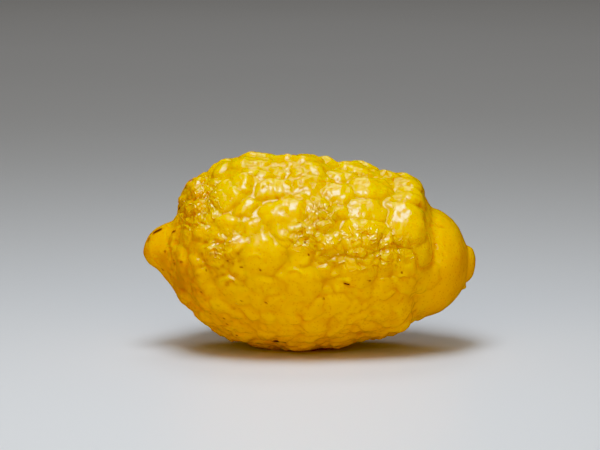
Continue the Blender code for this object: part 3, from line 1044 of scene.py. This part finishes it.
@dataclass(frozen=True)
class WaxedRind:
    """Ripe citron rind under its own wax.

    The wax gives crisp pale highlights. The base colour holds painted light and shade: a painted
    warm glow that deepens towards the underside, for light that comes through the rind and up
    from the floor, and painted shade in the creases and between the bosses. Oil glands show as
    pits about 0.6 mm wide.
    """

    lemon: str = "#E9B500"
    # What is laid over the lemon in turn: where it shows, its colour and its strength there
    layers: tuple[tuple[str, str, float], ...] = (
        ("mottle", "#E8AA00", 0.55),
        # Painted warm glow towards the underside, standing in for light through the rind and
        # bounced up from the floor
        ("painted_underside", "#FCB200", 1.0),
        ("ends", "#F29200", 0.38),
        # Painted shade: darker orange at the feet of the bosses, between their crowns
        ("shaded_valley", "#C87200", 0.2),
        # Painted shade: darker olive in the creases between the bosses
        ("crease", "#987400", 0.36),
        # Painted shade: darker orange in the dimples, fine wrinkle lines and furrows
        ("shaded_fine_valley", "#C87200", 0.4),
        ("gland", "#C87200", 0.28),
        ("stain", "#A04400", 0.8),
        ("scar", "#A04400", 0.9),
        ("scar_core", "#280E04", 0.95),
    )
    roughness: float = 0.19
    mottle_roughness: float = 0.1
    stain_roughness: float = 0.25
    coat: float = 0.25
    coat_roughness: float = 0.06
    gloss: float = 0.5
    crease_dulling: float = 0.85
    wrinkle_shine: float = 0.75
    ior: float = 1.42
    under_skin: float = 0.6
    under_skin_reach: float = 12.0 * MM
    under_skin_colours: tuple[float, float, float] = (1.0, 0.3, 0.04)
    gland_spacing: float = 1.4 * MM
    gland_depth: float = 0.08 * MM
    gland_rim: float = 0.36
    gland_floor: float = 0.1
    grain_size: float = 2.6 * MM
    wrinkle_spacing: float = 4.2 * MM
    wrinkle_height: float = 0.46 * MM
    wrinkle_width: float = 0.07
    mottle_size: float = 16 * MM

    def material(self) -> bpy.types.Material:
        """Builds the rind's shader.

        Returns:
            The material.
        """
        material = bpy.data.materials.new("waxed_citron_rind")
        material.use_nodes = True
        tree = material.node_tree
        place = add_node(tree, "TexCoord", {}, "Object")
        names = ("painted_underside", "ends", "crease", "shaded_valley", "shaded_fine_valley", "stain", "scar", "wrinkled")
        where = {
            name: add_node(tree, "Attribute", {"attribute_name": name}, "Fac") for name in names
        }
        where["mottle"] = add_node(
            tree,
            "TexNoise",
            {"Vector": place, "Scale": 1.0 / self.mottle_size, "Detail": 3.0, "Roughness": 0.55},
        )
        where["gland"] = self._glands(tree, place)
        where["scar_core"] = add_node(
            tree, "Math", {"operation": "POWER", 0: where["scar"], 1: 3.0}
        )
        colour = hex_to_linear(self.lemon)
        for name, over, strength in self.layers:
            share = add_node(tree, "Math", {"operation": "MULTIPLY", 0: where[name], 1: strength})
            mixed = {"data_type": "RGBA", 0: share, 6: colour, 7: hex_to_linear(over)}
            colour = add_node(tree, "Mix", mixed, 2)
        roughness = add_share(tree, self.roughness, where["mottle"], self.mottle_roughness)
        roughness = add_share(tree, roughness, where["stain"], self.stain_roughness)
        normal = self._bumps(tree, place, where["gland"], where["wrinkled"])
        values = {
            "Base Color": colour,
            "Roughness": roughness,
            "Normal": normal,
            "Coat Normal": normal,
            "Coat Roughness": self.coat_roughness,
            "IOR": self.ior,
            "Subsurface Weight": self.under_skin,
            "Subsurface Radius": self.under_skin_colours,
            "Subsurface Scale": self.under_skin_reach,
        }
        crisp = add_node(
            tree,
            "Math",
            {"operation": "SUBTRACT", "use_clamp": True, 0: where["wrinkled"], 1: where["ends"]},
        )
        for name, full in (("Coat Weight", self.coat), ("Specular IOR Level", self.gloss)):
            dulled = add_share(tree, full, where["crease"], -self.crease_dulling * full)
            values[name] = add_share(tree, dulled, crisp, self.wrinkle_shine * full)
        fill(tree, tree.nodes["Principled BSDF"], values)
        return material

    def _glands(self, tree: Tree, place: Socket) -> Socket:
        """Strews the oil glands.

        Args:
            tree: the material's node tree.
            place: where on the fruit.

        Returns:
            The output that is 1 in the middle of each gland's pit and 0 between them.
        """
        cells = {"Vector": place, "Scale": 1.0 / self.gland_spacing, "Randomness": 0.8}
        distance = add_node(tree, "TexVoronoi", cells)
        return soft_step(tree, distance, self.gland_rim, self.gland_floor)

    def _bumps(self, tree: Tree, place: Socket, gland: Socket, there: Socket) -> Socket:
        """Bends the normal by the glands' pits, the finest unevenness and the wrinkles.

        Args:
            tree: the material's node tree.
            place: where on the fruit.
            gland: 1 in the middle of each gland's pit.
            there: how wrinkled the skin is.

        Returns:
            The output with the bent normal.
        """
        noise = {"Vector": place, "Scale": 1.0 / self.grain_size, "Detail": 2.0}
        grain = add_node(tree, "TexNoise", noise)
        height = add_node(tree, "Math", {"operation": "SUBTRACT", 0: grain, 1: gland})
        pits = add_node(tree, "Bump", {"Distance": self.gland_depth, "Height": height})
        noise = {"Scale": 1.0 / self.wrinkle_spacing, "Detail": 1.0, "Distortion": 0.6}
        winding = add_node(tree, "TexNoise", {"Vector": place, **noise})
        side = add_node(tree, "Math", {"operation": "SUBTRACT", 0: winding, 1: 0.5})
        side = add_node(tree, "Math", {"operation": "ABSOLUTE", 0: side})
        ridge = soft_step(tree, side, self.wrinkle_width, 0.0)
        height = add_node(tree, "Math", {"operation": "ADD", 0: ridge, 1: grain})
        height = add_node(tree, "Math", {"operation": "MULTIPLY", 0: height, 1: there})
        wrinkles = {"Distance": self.wrinkle_height, "Height": height, "Normal": pits}
        return add_node(tree, "Bump", wrinkles)


@dataclass(frozen=True)
class StudioPaper:
    """Matt pale paper: an even, soft grey with the faintest grain."""

    pale: str = "#DDDCE0"
    shade: str = "#D9D8DC"
    roughness: float = 0.42
    gloss: float = 0.45
    cloud_scale: float = 3.0

    def material(self) -> bpy.types.Material:
        """Builds the paper's shader.

        Returns:
            The material.
        """
        material = bpy.data.materials.new("matt_studio_paper")
        material.use_nodes = True
        tree = material.node_tree
        place = add_node(tree, "TexCoord", {}, "Object")
        noise = {"Vector": place, "Scale": self.cloud_scale, "Detail": 2.0}
        cloud = add_node(tree, "TexNoise", noise)
        colours = {6: hex_to_linear(self.pale), 7: hex_to_linear(self.shade)}
        values = {
            "Base Color": add_node(tree, "Mix", {"data_type": "RGBA", 0: cloud, **colours}, 2),
            "Roughness": self.roughness,
            "Specular IOR Level": self.gloss,
        }
        fill(tree, tree.nodes["Principled BSDF"], values)
        return material


@dataclass(frozen=True)
class Softbox:
    """A flat soft lamp: where it hangs, how large it is and how strong."""

    name: str
    place: tuple[float, float, float]
    size: Span
    watts: float
    colour: tuple[float, float, float] = (1.0, 1.0, 1.0)
    aim: tuple[float, float, float] = (0.0, 0.0, 0.03)

    def hang(self) -> bpy.types.Object:
        """Adds the lamp and turns it towards its aim.

        Returns:
            The lamp.
        """
        bpy.ops.object.select_all(action="DESELECT")
        bpy.ops.object.light_add(type="AREA", location=self.place)
        lamp = bpy.context.object
        lamp.name = self.name
        lamp.data.shape = "ELLIPSE"
        lamp.data.size, lamp.data.size_y = self.size
        lamp.data.energy = self.watts
        lamp.data.color = self.colour
        way = Vector(self.aim) - Vector(self.place)
        lamp.rotation_euler = way.to_track_quat("-Z", "Y").to_euler()
        return lamp


@dataclass
class Studio:
    """A wide plain floor under soft light, brightest round the fruit."""

    floor_size: float = 16.0
    ambient: tuple[float, float, float, float] = (1.0, 0.84, 0.5, 1.0)
    ambient_strength: float = 0.065
    black: float = 0.02
    white: float = 2.0
    film_curve: tuple[Span, ...] = (
        (0.1, 0.2),
        (0.21, 0.4),
        (0.44, 0.69),
        (0.6, 0.83),
        (0.8, 0.95),
    )
    softboxes: tuple[Softbox, ...] = (
        Softbox("overhead_softbox", (-0.04, -0.2, 0.58), (0.24, 0.39), 3.6, (0.82, 0.92, 1.0)),
        Softbox("overhead_spill", (-0.04, -0.24, 0.57), (0.48, 0.76), 1.2, (0.82, 0.92, 1.0)),
        Softbox("front_card", (-0.1, -1.2, 0.34), (3.4, 0.9), 11.5, (1.0, 0.8, 0.34)),
        Softbox(
            "far_softbox", (0.0, 1.4, 2.4), (1.3, 1.3), 17.0, (0.9, 0.95, 1.0), (0.0, 1.7, 0.0)
        ),
    )

    def build(self) -> bpy.types.Object:
        """Lays the floor and hangs the lamps.

        Returns:
            The floor.
        """
        bpy.ops.object.select_all(action="DESELECT")
        bpy.ops.mesh.primitive_plane_add(size=self.floor_size)
        floor = bpy.context.object
        floor.name = "studio_floor"
        floor.data.materials.append(StudioPaper().material())
        floor.visible_glossy = False
        for softbox in self.softboxes:
            softbox.hang()
        world = bpy.data.worlds.new("studio_air")
        world.use_nodes = True
        background = world.node_tree.nodes["Background"]
        background.inputs["Color"].default_value = self.ambient
        background.inputs["Strength"].default_value = self.ambient_strength
        bpy.context.scene.world = world
        view = bpy.context.scene.view_settings
        view.view_transform = "Standard"
        view.use_curve_mapping = True
        view.curve_mapping.black_level = (self.black, self.black, self.black)
        view.curve_mapping.white_level = (self.white, self.white, self.white)
        for light, shown in self.film_curve:
            view.curve_mapping.curves[3].points.new(light, shown)
        view.curve_mapping.update()
        return floor


@dataclass
class PictureCamera:
    """A long lens about a metre away, looking slightly down on the fruit's side."""

    distance: float = 1.1
    frame_px: tuple[int, int] = (600, 450)
    fruit_px: float = 332.3
    middle_px: Span = (309.5, 251.0)
    sensor: float = 36.0
    farthest: float = 60.0

    def place(self) -> bpy.types.Object:
        """Adds the scene's camera, so that the fruit lies where the picture has it.

        Returns:
            The camera.
        """
        low, high = (Vector(corner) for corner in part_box("citron"))
        middle = 0.5 * (low + high)
        pixel = (high.x - low.x) / self.fruit_px
        back = Vector((0.0, -math.cos(EYE_TILT), math.sin(EYE_TILT)))
        up = Vector((0.0, math.sin(EYE_TILT), math.cos(EYE_TILT)))
        aim = middle.copy()
        aim.x -= (self.middle_px[0] - 0.5 * self.frame_px[0]) * pixel
        aim += up * (self.middle_px[1] - 0.5 * self.frame_px[1]) * pixel
        bpy.ops.object.select_all(action="DESELECT")
        bpy.ops.object.camera_add(location=aim + back * self.distance)
        camera = bpy.context.object
        camera.name = "picture_camera"
        camera.rotation_euler = (-back).to_track_quat("-Z", "Y").to_euler()
        camera.data.sensor_width = self.sensor
        camera.data.lens = self.sensor * self.distance / (self.frame_px[0] * pixel)
        camera.data.clip_end = self.farthest
        bpy.context.scene.camera = camera
        return camera


def main() -> None:
    """Builds the scene's parts in order."""
    logging.basicConfig(level=logging.INFO, format="%(name)s: %(message)s")
    camera = PictureCamera().place()
    LOG.info("%s with a %.0f mm lens", camera.name, camera.data.lens)
    floor = Studio().build()
    LOG.info("%s laid", floor.name)
    skin = CitronSkin().build(WaxedRind())
    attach(skin, "root")
    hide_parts("citron")
    LOG.info("%s with %d faces", skin.name, len(skin.data.polygons))


if __name__ == "__main__":
    main()
